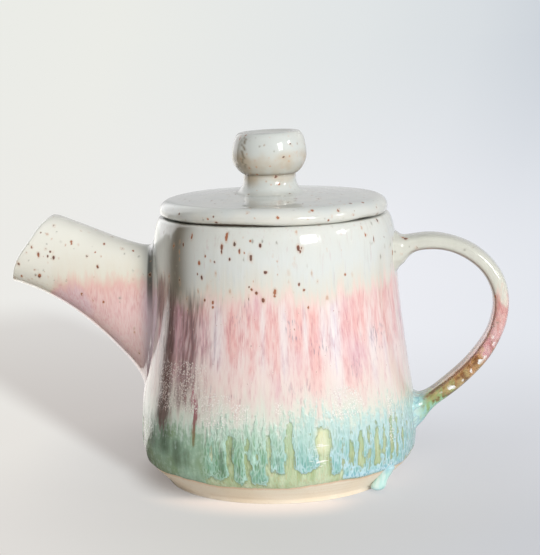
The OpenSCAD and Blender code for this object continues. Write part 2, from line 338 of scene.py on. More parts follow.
# Soft strokes of each kind: how soft their ends are, and angle, half width, top, bottom, strength of each
strokes = {
    "pink": (6, [
        (-134, 9, 82, 48, 1), (-120, 3.4, 82, 60, 0.6), (-105, 3.6, 84, 60, 0.8), (-98, 2.6, 85, 52, 0.55),
        (-94.5, 3, 87, 64, 0.8), (-88.5, 2.4, 84, 62, 0.9), (-85.4, 1.6, 80, 42, 1), (-80, 2.4, 84, 66, 0.7),
        (-76, 2.8, 83, 50, 0.9), (-69.5, 3.2, 82, 43, 1), (-54, 4, 84, 46, 0.9), (-49, 3, 86, 48, 0.9),
        (-44.5, 3, 88, 52, 0.8), (-35, 2.8, 88, 64, 0.7), (-27, 2.6, 92, 60, 0.7), (-18.5, 2.2, 99, 62, 1),
        (-10, 3, 90, 56, 0.8)]),
    "pale": (6, [
        (-112.5, 2.6, 84, 56, 0.8), (-91.8, 1, 84, 40, 0.4), (-82.8, 1.6, 84, 50, 0.6),
        (-73.4, 1, 86, 64, 0.5), (-65, 1.6, 84, 62, 0.6), (-60, 2.8, 87, 38, 1), (-40, 2, 70, 44, 0.8),
        (-31, 1.6, 66, 44, 0.7), (-23, 1.4, 60, 42, 0.6)]),
    # Murky dark green; on the left, from -150 to -126, these strokes also stand in as painted shade.
    "murk_and_painted_shade": (3, [
        (-150, 6, 38, 20, 0.8), (-139, 4.5, 33, 19, 1), (-131, 3.4, 27, 15, 0.9), (-126, 2.6, 24, 15, 0.6),
        (-109, 1.4, 26, 14, 0.7), (-105.5, 1, 28, 18, 0.5), (-86.5, 0.8, 24, 17, 0.5),
        (-102, 1.2, 20, 12, 0.4)]),
    "ember": (1.5, [(-122.8, 1.2, 48, 41, 1), (-121.4, 1.5, 44, 33, 1), (-121.8, 1.3, 35, 24, 0.9)]),
    # Brown glaze on the left, deepened there into painted shade; the narrow stroke at -151 paints a dark
    # reflection beside the spout.
    "umber_and_painted_shade": (7, [(-141, 6, 90, 27, 1), (-151, 6, 92, 72, 1), (-128, 11.5, 88, 38, 0.56)]),
    # Painted shade: a grey-brown darkening of the white on the pot's left side.
    "shade": (5, [(-137, 8.5, 118, 82, 1)]),
    # Frost crystals; the last stroke, at the drip's joint, paints a bright highlight.
    "frost": (2, [
        (-138, 8, 57, 37, 0.7), (-125, 8, 58, 38, 0.8), (-113, 5.5, 47, 33, 1), (-101, 4, 43, 36, 0.7),
        (-86, 2, 44, 39, 0.6), (-56, 7, 48, 36, 1), (-33, 2, 42, 22, 0.8), (-34, 2.4, 14, 9, 1)]),
    "cream": (2.5, [(-68.5, 2.8, 33, 23, 1)]),
    "scratched": (2, [(-70, 4.4, 28, 17, 1)]),
}

# The large iron specks: x, y, z and radius in mm, and how many times taller than wide each is
body_specks = [
    (-26.8, -43.1, 97.4, 0.5, 1.6), (-25.8, -43.8, 91.6, 0.5, 1.5), (-27.6, -42.7, 92.9, 0.3, 1.5),
    (-24.2, -44.4, 100.3, 0.35, 1.3), (-21.4, -46.7, 82.1, 0.45, 1.3), (-21.4, -46.8, 80.1, 0.4, 1.2),
    (-24.7, -44.9, 82.9, 0.4, 1.3), (-5.6, -50.5, 87.7, 0.4, 1.2), (-6.6, -50.3, 88.7, 0.3, 1.3),
    (-3.8, -50.7, 86.3, 0.5, 1.2), (-1, -51, 83.6, 0.6, 1.4), (0.1, -50.6, 94.5, 0.6, 0.9),
    (3.5, -50.6, 86.6, 0.6, 1.8), (3.4, -50.8, 85, 0.4, 1.2), (14.7, -48.4, 87, 0.45, 1.2),
    (12.8, -48.8, 89.3, 0.4, 1.6), (16.3, -48.4, 80, 0.35, 1.6), (30.5, -40.2, 91.6, 0.4, 1),
    (13.4, -48.4, 102.2, 0.35, 1.8), (-17.3, -47.2, 102.3, 0.4, 1.8), (-10.1, -49.2, 102.6, 0.4, 2),
    (-14.1, -48.5, 99.4, 0.4, 1.4), (-20.2, -46.4, 98.1, 0.3, 1.5), (-29.8, -39.4, 107.3, 0.4, 3.2),
    (-15.2, -46.8, 108.1, 0.5, 4), (-17.2, -47, 104.1, 0.5, 2.6), (-33.6, -37.2, 103.9, 0.3, 2.5),
    (-2, -49.9, 104.9, 0.5, 1.6), (-5.8, -49.2, 106.8, 0.35, 1.3), (12.8, -48.4, 103.6, 0.6, 1.8),
    (38.5, -31.4, 106.2, 0.35, 2.4), (41.8, -27.6, 103.8, 0.3, 4)]
lid_specks = [(-19.6, -42.7, 113.2, 0.6, 1), (-23, -41.4, 114.6, 0.35, 1), (-20.6, -42.5, 115.6, 0.35, 1),
              (4.9, -46.8, 115.4, 0.5, 1), (18.1, -41.6, 117.3, 0.6, 1), (24.3, -40.6, 113.2, 0.4, 1),
              (36, -29.2, 112.4, 0.5, 1), (32.6, -28.5, 118.4, 0.6, 1), (37.6, -23.8, 118.1, 0.5, 1),
              (-35.7, -30.9, 115.4, 0.4, 1)]
knob_specks = [(3, -10.2, 124.6, 0.45, 1), (-10.1, -9.9, 145, 0.4, 1), (-12.5, -8.8, 143.4, 0.4, 1.6),
               (13.2, -2.5, 140.1, 0.4, 1)]
handle_specks = [(54.5, -6.3, 101, 0.7, 1), (91.1, -6.5, 76.2, 0.6, 1)]
spout_specks = [(-83.9, -10.8, 102, 0.45, 1), (-83.8, -11.1, 101.2, 0.4, 1), (-70.6, -8.5, 100.6, 0.45, 1),
                (-72.9, -12.8, 91.7, 0.45, 1.4), (-71, -13.4, 76.9, 0.4, 1.4), (-97.9, -11.1, 87.8, 0.6, 1.6),
                (-91.4, -12.4, 95.6, 0.5, 1.5), (-93.9, -12.3, 96.2, 0.35, 1.2), (-92.6, -12.3, 98.1, 0.4, 1),
                (-97.7, -12.3, 96.9, 0.5, 1.6), (-96.7, -10.7, 106, 0.3, 1), (-58.6, -7.5, 97.5, 0.4, 1),
                (-74, -11.3, 97.4, 0.3, 1)]


def far_side(seed):
    """Rivulets and strokes for the sides that the photograph doesn't show, of the same kinds and sizes."""
    draw = random.Random(seed)
    angle = 2.0
    while angle < 196:
        rivulets.append((angle, draw.uniform(1.3, 3.2), draw.uniform(10.6, 17.5)))
        if draw.random() < 0.45:
            windows.append((angle + draw.uniform(3, 4), draw.uniform(0.9, 2), 13, draw.uniform(26, 35)))
        angle += draw.uniform(4.6, 8.4)
    angle = -2.0
    while angle < 214:
        strokes["pink"][1].append((angle, draw.uniform(1.8, 3.6), draw.uniform(82, 92), draw.uniform(50, 68),
                                   draw.uniform(0.4, 1)))
        strokes["pale"][1].append((angle + draw.uniform(3, 6), draw.uniform(1.2, 2.6), draw.uniform(76, 87),
                                   draw.uniform(38, 62), draw.uniform(0.5, 0.9)))
        angle += draw.uniform(7, 11)
    for _ in range(9):
        strokes["murk_and_painted_shade"][1].append((draw.uniform(0, 200), draw.uniform(1, 3), draw.uniform(24, 34),
                                   draw.uniform(12, 20), draw.uniform(0.3, 0.7)))
        strokes["frost"][1].append((draw.uniform(0, 200), draw.uniform(3, 7), draw.uniform(42, 52),
                                    draw.uniform(34, 40), draw.uniform(0.6, 1)))


def arc_apart(angle, middle):
    """Distance along the belly between two angles, in mm."""
    return np.radians((angle - middle + 180) % 360 - 180) * (belly_r / MM)


def stroke_cover(angle, height, soft, marks):
    """How strongly the strokes of one kind cover each place, from 0 to 1."""
    cover = np.zeros_like(height)
    for middle, half, top, bottom, strength in marks:
        across = np.exp(-(arc_apart(angle, middle) / half) ** 2)
        along = soft_step(height, bottom - soft, bottom + soft)
        along *= 1 - soft_step(height, top - soft, top + soft / 3)
        cover = np.maximum(cover, strength * across * along)
    return cover


def rivulet_depth(angle, height):
    """Distance in mm from the edge of the turquoise: positive inside it, negative on the bare olive."""
    depth = height - (30.5 + sway(angle, [(9, 1.8, 40), (17, 1.2, 200), (31, 0.8, 10)]))
    for middle, half, end in rivulets:
        bend = 0.45 * np.sin(height * 0.42 + middle) + 0.25 * np.sin(height * 0.9 + 3 * middle)
        bulb = half * (1 + 0.22 * np.exp(-((height - end - 2.4) / 3) ** 2))
        below = np.minimum(height - end - bulb, 0)
        depth = np.maximum(depth, bulb - np.hypot(arc_apart(angle, middle) + bend, below))
    for middle, half, bottom, top in windows:
        over = np.maximum(np.abs(height - (bottom + top) / 2) - (top - bottom) / 2 + half, 0)
        bend = 0.4 * np.sin(height * 0.5 + 2 * middle)
        taper = 1 - 0.5 * soft_step(height, bottom, top)
        depth = np.minimum(depth, np.hypot((arc_apart(angle, middle) + bend) / taper, over) - half)
    return depth


def glaze_line(angle):
    """Height in mm at which the glaze stops above the foot."""
    wave = sway(angle, [(2, 0.5, 120), (5, 0.35, 20), (11, 0.25, 75), (23, 0.12, 0)])
    return glaze_edge_h + wave


def rounded(depth, width):
    """Profile of a round shoulder of glaze: 0 at its edge, 1 from width inwards."""
    t = np.clip(depth / width, 0, 1)
    return np.sqrt(1 - (1 - t) ** 2)


def make_pot_body():
    """The thrown pot with its foot, hollow, mouth and strainer, and its glaze laid on in relief."""
    fine, coarse, runs_top_h = 0.6 * MM, 1.5 * MM, 46 * MM
    under = [*line((0, foot_recess), (foot_r - foot_ring_w, foot_recess), 6),
             (foot_r - foot_ring_w, foot_recess), (foot_r - foot_ring_w + 0.4 * MM, 0.3 * MM),
             (foot_r - foot_ring_w + 1 * MM, 0), (foot_r - 2.5 * MM, 0), (foot_r - 1.3 * MM, 0),
             (foot_r - 0.4 * MM, 0.2 * MM)]
    bevel = line((foot_r, foot_edge), (bevel_r, bevel_h), 9)
    heights = [*np.arange(bevel_h, runs_top_h, fine), *np.arange(runs_top_h, shoulder_h - coarse, coarse)]
    upright = [(wall_radius(z), z) for z in heights]
    shoulder = elbow((rim_r, shoulder_h), shoulder_r - rim_r, body_h - shoulder_h, 4, 90, 16)
    throat = [(mouth_r + 1.6 * MM, body_h), (mouth_r + 0.5 * MM, body_h - 0.15 * MM),
              (mouth_r, body_h - 0.8 * MM), (mouth_r, body_h - 2.4 * MM)]
    inside = elbow((mouth_r, shoulder_h), shoulder_r - wall - mouth_r,
                   body_h - shoulder_h - throat_h, 90, 0, 8)
    inner_wall = wall_points(wall, 20)[-2::-1]
    floor = elbow((belly_r - wall - floor_round, belly_h), floor_round, belly_h - floor_h, 0, -90, 10)
    outline = [*under, *bevel, *upright, *shoulder, *throat, *inside, *inner_wall, *floor[1:],
               *line(floor[-1], (0, floor_h), 7)[1:], (0, floor_h)]
    piece = thrown("glazed_pot", outline, pot_sides)
    pierce_strainer(piece)
    lay_glaze(piece)
    return piece


def pierce_strainer(piece):
    """Cuts the rows of holes behind the spout, two and three in turn."""
    depth = shoulder_r / 2
    cutters = []
    for row, holes in enumerate(strainer_rows):
        z = strainer_h + (row - (len(strainer_rows) - 1) / 2) * strainer_pitch
        for i in range(holes):
            y = (i - (holes - 1) / 2) * strainer_pitch
            bpy.ops.mesh.primitive_cylinder_add(vertices=24, radius=strainer_d / 2, depth=depth,
                                                location=(-shoulder_r, y, z), rotation=(0, math.pi / 2, 0))
            cutters.append(bpy.context.object)
    for cutter in cutters:
        cutter.select_set(True)
    bpy.ops.object.join()
    cutter = bpy.context.object
    apply_modifier(piece, "BOOLEAN", object=cutter, operation="DIFFERENCE", solver="EXACT")
    bpy.data.objects.remove(cutter)


def lay_glaze(piece):
    """Raises the glaze, its rivulets and its rolled edge on the outer face, and marks where colours lie."""
    points = places(piece)
    radius = np.hypot(points[:, 0], points[:, 1])
    angle = angle_round(points)
    height = points[:, 2] / MM
    outer = (radius > wall_radius(points[:, 2]) - 0.3 * MM) & (height > 1)
    over_line = height - glaze_line(angle)
    deep = soft_step(-angle, 114, 120) * (1 - soft_step(-angle, 158, 168))
    depth = rivulet_depth(angle, height)
    depth += (2 - depth) * deep
    low = 1 - soft_step(height, 34, 46)
    roll_reach = soft_step(angle, -62, -57) * (1 - soft_step(angle, -26, -16))
    roll = roll_reach * np.exp(-((over_line - 1.5) / 1.25) ** 2)
    fade = 1 - soft_step(height, 96, 108)
    lift = (glaze_t * (rounded(over_line, 0.9) - 1)
            + rivulet_t * low * rounded(depth, 1.1) * rounded(over_line, 2)
            + roll_t * roll
            - glaze_inset
            + wall_sway * fade * sway(angle, [(2, 1, 30), (3, 0.7, 100), (7, 0.2, 10)])
            + throwing_ring_t * fade * np.sin(height * 0.62 + sway(angle, [(2, 0.6, 0)])))
    scale = 1 + np.where(outer, lift, 0) * MM / np.maximum(radius, MM)
    points[:, 0] *= scale
    points[:, 1] *= scale
    put_places(piece, points)
    skin = outer | (radius > mouth_r - 1 * MM) & (height > 90)
    give(piece, "glaze", np.where(skin | (height > 7) & (radius < belly_r - wall + MM), over_line, -5))
    give(piece, "rivulet", np.where(outer, depth, 4) + 3 * roll)
    give(piece, "roll", roll)
    give(piece, "deep", deep)
    for name, (soft, marks) in strokes.items():
        give(piece, name, stroke_cover(angle, height, soft, marks))
    give(piece, "over_turquoise", height - np.interp(angle, *zip(*turquoise_top)))
    top_shift = (np.interp(angle, *zip(*pink_top)) - 85) * soft_step(height, 50, 80)
    give(piece, "pink_level", height - top_shift)


def make_spout():
    """The hollow spout, drawn from its passage round the lip and back down the outside to the wall."""
    steps = 1000
    top_edge = np.array(bezier(lip_high, *spout_top_bend, root_high, steps))
    under_edge = np.array(bezier(lip_low, *spout_under_bend, root_low, steps))

    def station(t, inset, shift=0):
        """The section at a share t of the way from lip to root, set in from the outside and shifted out."""
        high, low = top_edge[round(t * steps)], under_edge[round(t * steps)]
        up = high - low
        tilt = math.degrees(math.atan2(up[0], up[1]))
        out = np.array((-up[1], up[0])) / np.linalg.norm(up)
        middle = (high + low) / 2 + out * shift
        away = max(0, -(high[0] + low[0]) / 2 - shoulder_r)
        swell = 0 if inset > 0 else spout_flare * max(0, 1 - away / spout_flare_len) ** 2
        half_up = np.linalg.norm(up) / 2 - inset + swell
        half_side = (lip_w + (root_w - lip_w) * t * t) / 2 - inset + swell
        return tuple(middle), tilt, half_up, half_side

    passage = [station(1 - 0.97 * i / 16, spout_wall) for i in range(17)]
    turn_over = [station(0.0, spout_wall / 2 * (1 + math.cos(math.radians(a))),
                         0.9 * MM * math.sin(math.radians(a)) - 0.9 * MM) for a in range(15, 180, 15)]
    outside = [station(t, 0) for t in [*np.linspace(0.02, 0.7, 20), *np.linspace(0.715, 1, 26)]]
    piece = drawn("glazed_spout", 72, spout_fullness, [*passage, *turn_over, *outside])
    bpy.ops.mesh.select_all(action="DESELECT")
    bpy.ops.mesh.select_non_manifold()
    bpy.ops.mesh.bridge_edge_loops()
    close_form(piece, 60)
    join_to_wall(piece, -1, 68 * MM, 60 * MM, spout_fillet)
    apply_modifier(piece, "SUBSURF", levels=1, render_levels=1)
    shape_lip(piece)
    return piece


def shape_lip(piece):
    """Swells the lip out below its middle, rounds its upper corner and marks its thin lower edge."""
    points = places(piece)
    lean = Vector((lip_high[0] - lip_low[0], lip_high[1] - lip_low[1]))
    from_low_x, from_low_z = points[:, 0] - lip_low[0], points[:, 2] - lip_low[1]
    up_lip = (from_low_x * lean.x + from_low_z * lean.y) / lean.length_squared
    lean.normalize()
    back = (from_low_x * lean.y - from_low_z * lean.x) / MM
    bulge = lip_swell * np.exp(-((up_lip - 0.34) / 0.28) ** 2) * (1 - soft_step(back, 0, 14))
    corner = lip_round * np.exp(-((up_lip - 1.05) / 0.13) ** 2) * (1 - soft_step(back, 0, 12))
    points[:, 0] += corner - bulge * lean.y
    points[:, 2] += bulge * lean.x
    put_places(piece, points)
    low = 1 - soft_step(points[:, 2], lip_low[1] + 1.5 * MM, lip_low[1] + 3.5 * MM)
    give(piece, "thin", low * np.exp(-((back - 1.2) / 0.4) ** 2))


def make_handle():
    """The pulled strap, drawn along its own line from the upper root to the lower one."""
    mid = (handle_x - strap_t / 2, strap_mid_h)
    tall = strap_high[1] - strap_low[1]
    upper = bezier(strap_high, (strap_high[0] + 0.34 * (mid[0] - strap_high[0]), strap_high[1] + 0.3 * tall),
                   (mid[0], mid[1] + 0.34 * tall), mid, 44)
    lower = bezier(mid, (mid[0], mid[1] - 0.28 * tall),
                   (strap_low[0] + 0.64 * (mid[0] - strap_low[0]), strap_low[1] + 0.25 * tall),
                   strap_low, 44, 1)
    route = np.array([*upper, *lower])
    along = np.gradient(route, axis=0)
    stations = []
    for i, ((x, z), (dx, dz)) in enumerate(zip(route, along)):
        start = shoulder_r if i < 45 else belly_r
        swell = max(0, 1 - max(0, x - start) / strap_flare_len) ** 2
        pull = 0.25 * MM * math.sin(i * 0.21) + 0.12 * MM * math.sin(i * 0.53)
        stations.append(((x, z), math.degrees(math.atan2(-dz, dx)),
                         strap_t / 2 + strap_flare * swell + pull / 3,
                         strap_w / 2 + strap_flare_side * swell + pull))
    piece = drawn("glazed_handle", 48, strap_fullness, stations)
    bpy.ops.mesh.select_all(action="DESELECT")
    bpy.ops.mesh.select_non_manifold()
    bpy.ops.mesh.edge_face_add()
    close_form(piece, 60)
    join_to_wall(piece, 1, strap_high[1], 16 * MM, strap_fillet)
    join_to_wall(piece, 1, strap_low[1] + 3 * MM, 16 * MM, strap_fillet)
    apply_modifier(piece, "SUBSURF", levels=1, render_levels=1)
    inward, sideways = across_strap(places(piece), route, along)
    give(piece, "thin", np.exp(-((inward - 0.74) / 0.17) ** 2 - ((sideways - 0.84) / 0.11) ** 2))
    # Marks the sides of the strap where painted highlights, broken white glints, go on the lower arm.
    give(piece, "painted_glint", np.exp(-((inward + 0.15) / 0.3) ** 2) * soft_step(sideways, 0.7, 0.95))
    return piece


def across_strap(points, route, along):
    """Where each point lies across the strap: from -1 outside to 1 inside, and from 0 to 1 at its sides."""
    flat = points[:, [0, 2]]
    nearest = np.argmin(((flat[:, None, :] - route[None, :, :]) ** 2).sum(axis=2), axis=1)
    way = along[nearest] / np.linalg.norm(along[nearest], axis=1)[:, None]
    inwards = np.stack((way[:, 1], -way[:, 0]), axis=1)
    inward = ((flat - route[nearest]) * inwards).sum(axis=1) / (strap_t / 2)
    sideways = np.abs(points[:, 1]) / (strap_w / 2)
    return inward, sideways


def make_drip():
    """The run of glaze that leans from the rolled edge down towards the table and ends in a bead."""
    drip_low, drip_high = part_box("glaze_drip")
    top = (drip_high.z - drip_low.z) + 0.9 * MM
    outline = [*elbow((0, 1.9 * MM), 3.1 * MM, 1.9 * MM, -90, 0, 8),
               (3.1 * MM, 2.6 * MM), (2.8 * MM, 3.8 * MM),
               (2.6 * MM, 5 * MM), (2.6 * MM, 6.4 * MM), (2.8 * MM, 8 * MM), (3 * MM, 9.6 * MM),
               *elbow((0, top - 2 * MM), 3 * MM, 2 * MM, 0, 90, 6)]
    piece = thrown("glaze_drip_bead", outline, 48)
    points = places(piece)
    lean = drip_lean * soft_step(points[:, 2], -1 * MM, top + 1 * MM)
    points[:, 0] += drip_x + lean * math.cos(drip_way)
    points[:, 1] += drip_y + lean * math.sin(drip_way)
    points[:, 2] += drip_gap
    put_places(piece, points)
    return piece


def make_lid_plate():
    """The lid plate, crowned, with its rounded edge a little uneven as thrown lids are."""
    edge_in, edge_up, under_round = 5.4 * MM, 4.4 * MM, 2 * MM
    ridge = [(r * MM, lid_top_h - (lid_top_h - lid_low_h - lid_t) * ((r - 18) / 24) ** 1.15
              + 0.03 * MM * math.sin(r * 0.75)) for r in np.arange(18.0, 42.0, 1.0)]
    outline = [*line((0, lid_low_h), (lid_r - under_round, lid_low_h), 12),
               *elbow((lid_r - under_round, lid_low_h + under_round), under_round, under_round, -90, 0, 8),
               *elbow((lid_r - edge_in, lid_low_h + lid_t - edge_up), edge_in, edge_up, 4, 90, 16),
               *reversed(ridge), (9 * MM, lid_top_h), (0, lid_top_h)]
    piece = thrown("glazed_lid", outline, 256)
    points = places(piece)
    angle = angle_round(points)
    out = soft_step(np.hypot(points[:, 0], points[:, 1]), lid_r - 9 * MM, lid_r)
    points[:, 2] += out * MM * sway(angle, [(2, 0.16, 20), (3, 0.13, 80), (6, 0.05, 0)])
    pull_in = 1 - out * 0.2 * MM / lid_r * (1 + sway(angle, [(3, 0.5, 10), (5, 0.5, 60)]))
    points[:, :2] *= pull_in[:, None]
    under_side = out * (1 - soft_step(points[:, 2], lid_low_h, lid_low_h + 4 * MM))
    lift = 0.1 + 0.55 * np.exp(-((angle + 104) / 17) ** 2) + 0.6 * np.exp(-((angle + 35) / 9) ** 2)
    points[:, 2] += under_side * lift * MM
    put_places(piece, points)
    return piece


def make_locating_ring():
    """The ring under the lid that holds it in the mouth."""
    edge = 1.2 * MM
    inner = ring_r - ring_t
    outline = [(ring_r, lid_low_h), (ring_r, lid_low_h - 2 * MM), (ring_r - 0.15 * MM, lid_low_h - 5 * MM),
               *elbow((ring_r - edge, ring_low_h + edge), edge, edge, 0, -90, 6),
               *elbow((inner + edge, ring_low_h + edge), edge, edge, -90, -180, 6),
               (inner + 0.15 * MM, lid_low_h - 5 * MM), (inner, lid_low_h - 2 * MM), (inner, lid_low_h),
               (ring_r, lid_low_h)]
    return thrown("clay_locating_ring", outline, 192)


def make_knob():
    """The thrown knob: a flared foot, a neck, a crease and a full head with a dished top."""
    base_r, neck_r, neck_h, head_r, head_h, top_r = [v * MM for v in (16.6, 10.9, 5.9, 15.4, 15.4, 11.4)]
    foot = elbow((base_r, lid_top_h + neck_h), base_r - neck_r, neck_h, 270, 180, 14)
    neck = [(neck_r, lid_top_h + neck_h + 0.9 * MM), (neck_r - 0.05 * MM, lid_top_h + neck_h + 1.6 * MM)]
    under = bezier((neck_r + 0.1 * MM, lid_top_h + neck_h + 2.1 * MM),
                   (neck_r + 1.4 * MM, lid_top_h + neck_h + 2.5 * MM),
                   (head_r - 0.2 * MM, lid_top_h + 11.4 * MM), (head_r, lid_top_h + head_h), 16)
    over = bezier((head_r, lid_top_h + head_h), (head_r, lid_top_h + head_h + 4.3 * MM),
                  (head_r - 0.9 * MM, knob_top_h - 0.1 * MM), (top_r, knob_top_h - 0.05 * MM), 16)[1:]
    dish = [(r * MM, knob_top_h - deep * MM) for r, deep in (
        (10.4, 0.1), (9.4, 0.45), (7, 0.9), (4, 1.15), (0, 1.2))]
    outline = [(0, lid_top_h - 0.5 * MM), (base_r, lid_top_h - 0.5 * MM), *foot, *neck, *under, *over, *dish]
    piece = thrown("glazed_knob", outline, 160, knob_x)
    points = places(piece)
    local_x, local_y = points[:, 0] - knob_x, points[:, 1]
    angle = angle_round(points, knob_x)
    up = soft_step(points[:, 2], lid_top_h + 8 * MM, lid_top_h + 17 * MM)
    pinch = 1 + up * (sway(angle, [(2, 0.012, 20), (3, 0.010, 200), (5, 0.006, 60)]) + 0.004)
    points[:, 0] = knob_x + local_x * pinch
    points[:, 1] = local_y * pinch
    points[:, 2] += up * (0.03 * local_x - 0.55 * MM)
    put_places(piece, points)
    over_lid = (points[:, 2] - lid_top_h) / MM
    # Darkening for the knob's glaze: painted shade in the crease under the head and over the head's left
    # side, and a jagged dark line on its front-left.
    ragged = angle + 129 + 2.5 * np.sin(over_lid * 1.9) + 1.5 * np.sin(over_lid * 4.3)
    run = 1.3 * np.exp(-(ragged / 2.6) ** 2) * soft_step(over_lid, 9, 13) * (1 - soft_step(over_lid, 23, 25))
    painted_left_shade = 0.8 * np.exp(-((angle % 360 - 190) / 34) ** 2) * soft_step(over_lid, 8, 11)
    give(piece, "crease", np.maximum(np.maximum(np.exp(-((over_lid - 8.1) / 0.7) ** 2), run), painted_left_shade))
    return piece


# Node trees, written as sums of their outputs

class Wire:
    """A node's output. Adding, subtracting and multiplying wires makes the Math nodes for it."""

    def __init__(self, net, socket):
        self.net = net
        self.socket = socket

    def __add__(self, other):
        return self.net.math("ADD", self, other)

    def __radd__(self, other):
        return self.net.math("ADD", self, other)

    def __sub__(self, other):
        return self.net.math("SUBTRACT", self, other)

    def __rsub__(self, other):
        return self.net.math("SUBTRACT", other, self)

    def __mul__(self, other):
        return self.net.math("MULTIPLY", self, other)

    def step(self, low, high):
        """0 below low, 1 above high and smooth between."""
        made = self.net.node("MapRange", interpolation_type="SMOOTHSTEP", Value=self,
                             From_Min=low, From_Max=high)
        return self.net.out(made)

    def within(self, low, high, soft):
        """1 between low and high, fading to 0 over a distance of soft outside each."""
        return self.step(low - soft, low) * (1 - self.step(high, high + soft))


class Net:
    """A node tree that is filled node by node."""

    def __init__(self, tree):
        self.tree = tree

    def join(self, value, socket):
        """Links a wire to a socket, or writes a value on it."""
        if isinstance(value, Wire):
            self.tree.links.new(value.socket, socket)
        else:
            socket.default_value = value

    def node(self, kind, **values):
        """Adds a node. A name with a capital is a socket, given a value or a wire. Others are settings."""
        made = self.tree.nodes.new("ShaderNode" + kind)
        for key, value in values.items():
            if key[0].isupper():
                self.join(value, made.inputs[key.replace("_", " ")])
            else:
                setattr(made, key, value)
        return made

    def out(self, made, output=0):
        return Wire(self, made.outputs[output])

    def math(self, operation, *values, kind="Math", output=0):
        """A Math node of these values, or another kind with the same settings."""
        made = self.node(kind, operation=operation)
        for value, socket in zip(values, made.inputs):
            self.join(value, socket)
        return self.out(made, output)

    def vector(self, operation, *values, output=0):
        return self.math(operation, *values, kind="VectorMath", output=output)

    def shift(self, place, way, amount):
        """Moves a pattern's place along a vector by an amount."""
        return self.vector("MULTIPLY_ADD", way, (amount,) * 3, place)

    def blend(self, share, a, b):
        """Mixes two shaders, given by their nodes."""
        made = self.node("MixShader", Fac=share)
        self.join(self.out(a), made.inputs[1])
        self.join(self.out(b), made.inputs[2])
        return self.out(made)

    def mix(self, share, a, b):
        """Mixes two colours, each given as a wire or as six hexadecimal digits."""
        made = self.node("Mix", data_type="RGBA", clamp_factor=True)
        for value, place in ((share, 0), (a, 6), (b, 7)):
            self.join(tint(value) if isinstance(value, str) else value, made.inputs[place])
        return self.out(made, 2)

    def over(self, colour, *layers):
        """Lays colours over a first one in turn, each given as the share that shows and its colour."""
        for share, layer in layers:
            colour = self.mix(share, colour, layer)
        return colour

    def ramp(self, value, low, high, stops):
        """Colours at values from low to high, each stop a value and a colour or a grey."""
        share = self.out(self.node("MapRange", Value=value, From_Min=low, From_Max=high))
        made = self.node("ValToRGB", Fac=share)
        elements = made.color_ramp.elements
        while len(elements) < len(stops):
            elements.new(0.5)
        for element, (at, colour) in zip(elements, stops):
            element.position = (at - low) / (high - low)
            element.color = tint(colour) if isinstance(colour, str) else (colour, colour, colour, 1)
        return self.out(made)

    def place(self):
        """The piece's own coordinates, in metres."""
        return self.out(self.node("TexCoord"), "Object")

    def mm(self, axis):
        """The piece's own X, Y or Z in mm."""
        return self.out(self.node("SeparateXYZ", Vector=self.place()), axis) * 1000.0

    def noise(self, size, detail, place=None, output=0):
        """Noise whose features are about size mm wide, on the piece's own place unless another is given."""
        where = self.place() if place is None else place
        made = self.node("TexNoise", Vector=where, Scale=600.0 / size, Detail=detail)
        return self.out(made, output)

    def read(self, name):
        """The number that the piece's points carry under a name."""
        return self.out(self.node("Attribute", attribute_name=name), "Fac")

    def use(self, shared, **values):
        """Places a group with its own values and gives its outputs by name."""
        made = self.tree.nodes.new("ShaderNodeGroup")
        made.node_tree = shared
        for key, value in values.items():
            self.join(value, made.inputs[key.replace("_", " ")])
        return {socket.name: Wire(self, socket) for socket in made.outputs}


def group(name, inputs, outputs, build):
    """A node group: its number inputs with their defaults, its outputs, and what fills them."""
    tree = bpy.data.node_groups.new(name, "ShaderNodeTree")
    for label, default in inputs.items():
        socket = tree.interface.new_socket(label, in_out="INPUT", socket_type="NodeSocketFloat")
        socket.default_value = default
    for label in outputs:
        kind = "NodeSocketColor" if label == "Colour" else "NodeSocketFloat"
        tree.interface.new_socket(label, in_out="OUTPUT", socket_type=kind)
    net = Net(tree)
    start = tree.nodes.new("NodeGroupInput")
    given = {socket.name: Wire(net, socket) for socket in start.outputs if socket.name}
    end = tree.nodes.new("NodeGroupOutput")
    for label, value in build(net, given).items():
        net.join(value, end.inputs[label])
    return tree


def stretched(net, given):
    """The piece's own coordinates, squeezed upright so that a pattern runs down the wall."""
    squeeze = net.out(net.node("CombineXYZ", X=1.0, Y=1.0, Z=net.math("DIVIDE", 1.0, given["Stretch"])))
    away = net.out(net.node("CombineXYZ", X=given["Offset"], Y=given["Offset"], Z=given["Offset"]))
    return net.out(net.node("Mapping", Vector=net.place(), Scale=squeeze, Location=away))


def streak(net, width, stretch, offset=0.0):
    """The shared streaks, about width mm wide."""
    return net.use(streaks, Width=width, Stretch=stretch, Offset=offset)["Value"]


def build_streaks(net, given):
    """Soft streaks that run down the wall, from 0 to 1."""
    made = net.node("TexNoise", Vector=stretched(net, given), Detail=3.0, Roughness=0.55, Distortion=0.15,
                    Scale=net.math("DIVIDE", 1000.0, given["Width"]))
    return {"Value": net.out(made).step(0.32, 0.68)}


def build_specks(net, given):
    """Scattered specks: where they lie, the halo round each, and a number that differs between them."""
    where = stretched(net, given)
    fray = net.node("TexNoise", Vector=where, Scale=net.math("DIVIDE", 2600.0, given["Spacing"]), Detail=2.0)
    frayed = net.vector("ADD", where, net.vector("MULTIPLY", net.out(fray, 1), given["Spacing"] * 0.0005))
    cells = net.node("TexVoronoi", Vector=frayed, Scale=net.math("DIVIDE", 1000.0, given["Spacing"]))
    chance = net.node("SeparateColor", Color=net.out(cells, "Color"))
    there = net.math("LESS_THAN", net.out(chance, 0), given["Amount"])
    share = net.math("DIVIDE", net.out(cells, "Distance"), given["Size"] * (net.out(chance, 1) + 0.35))
    return {"Speck": (1 - share.step(0.72, 1.0)) * there, "Halo": (1 - share.step(0.8, 2.1)) * there,
            "Kind": net.out(chance, 2)}


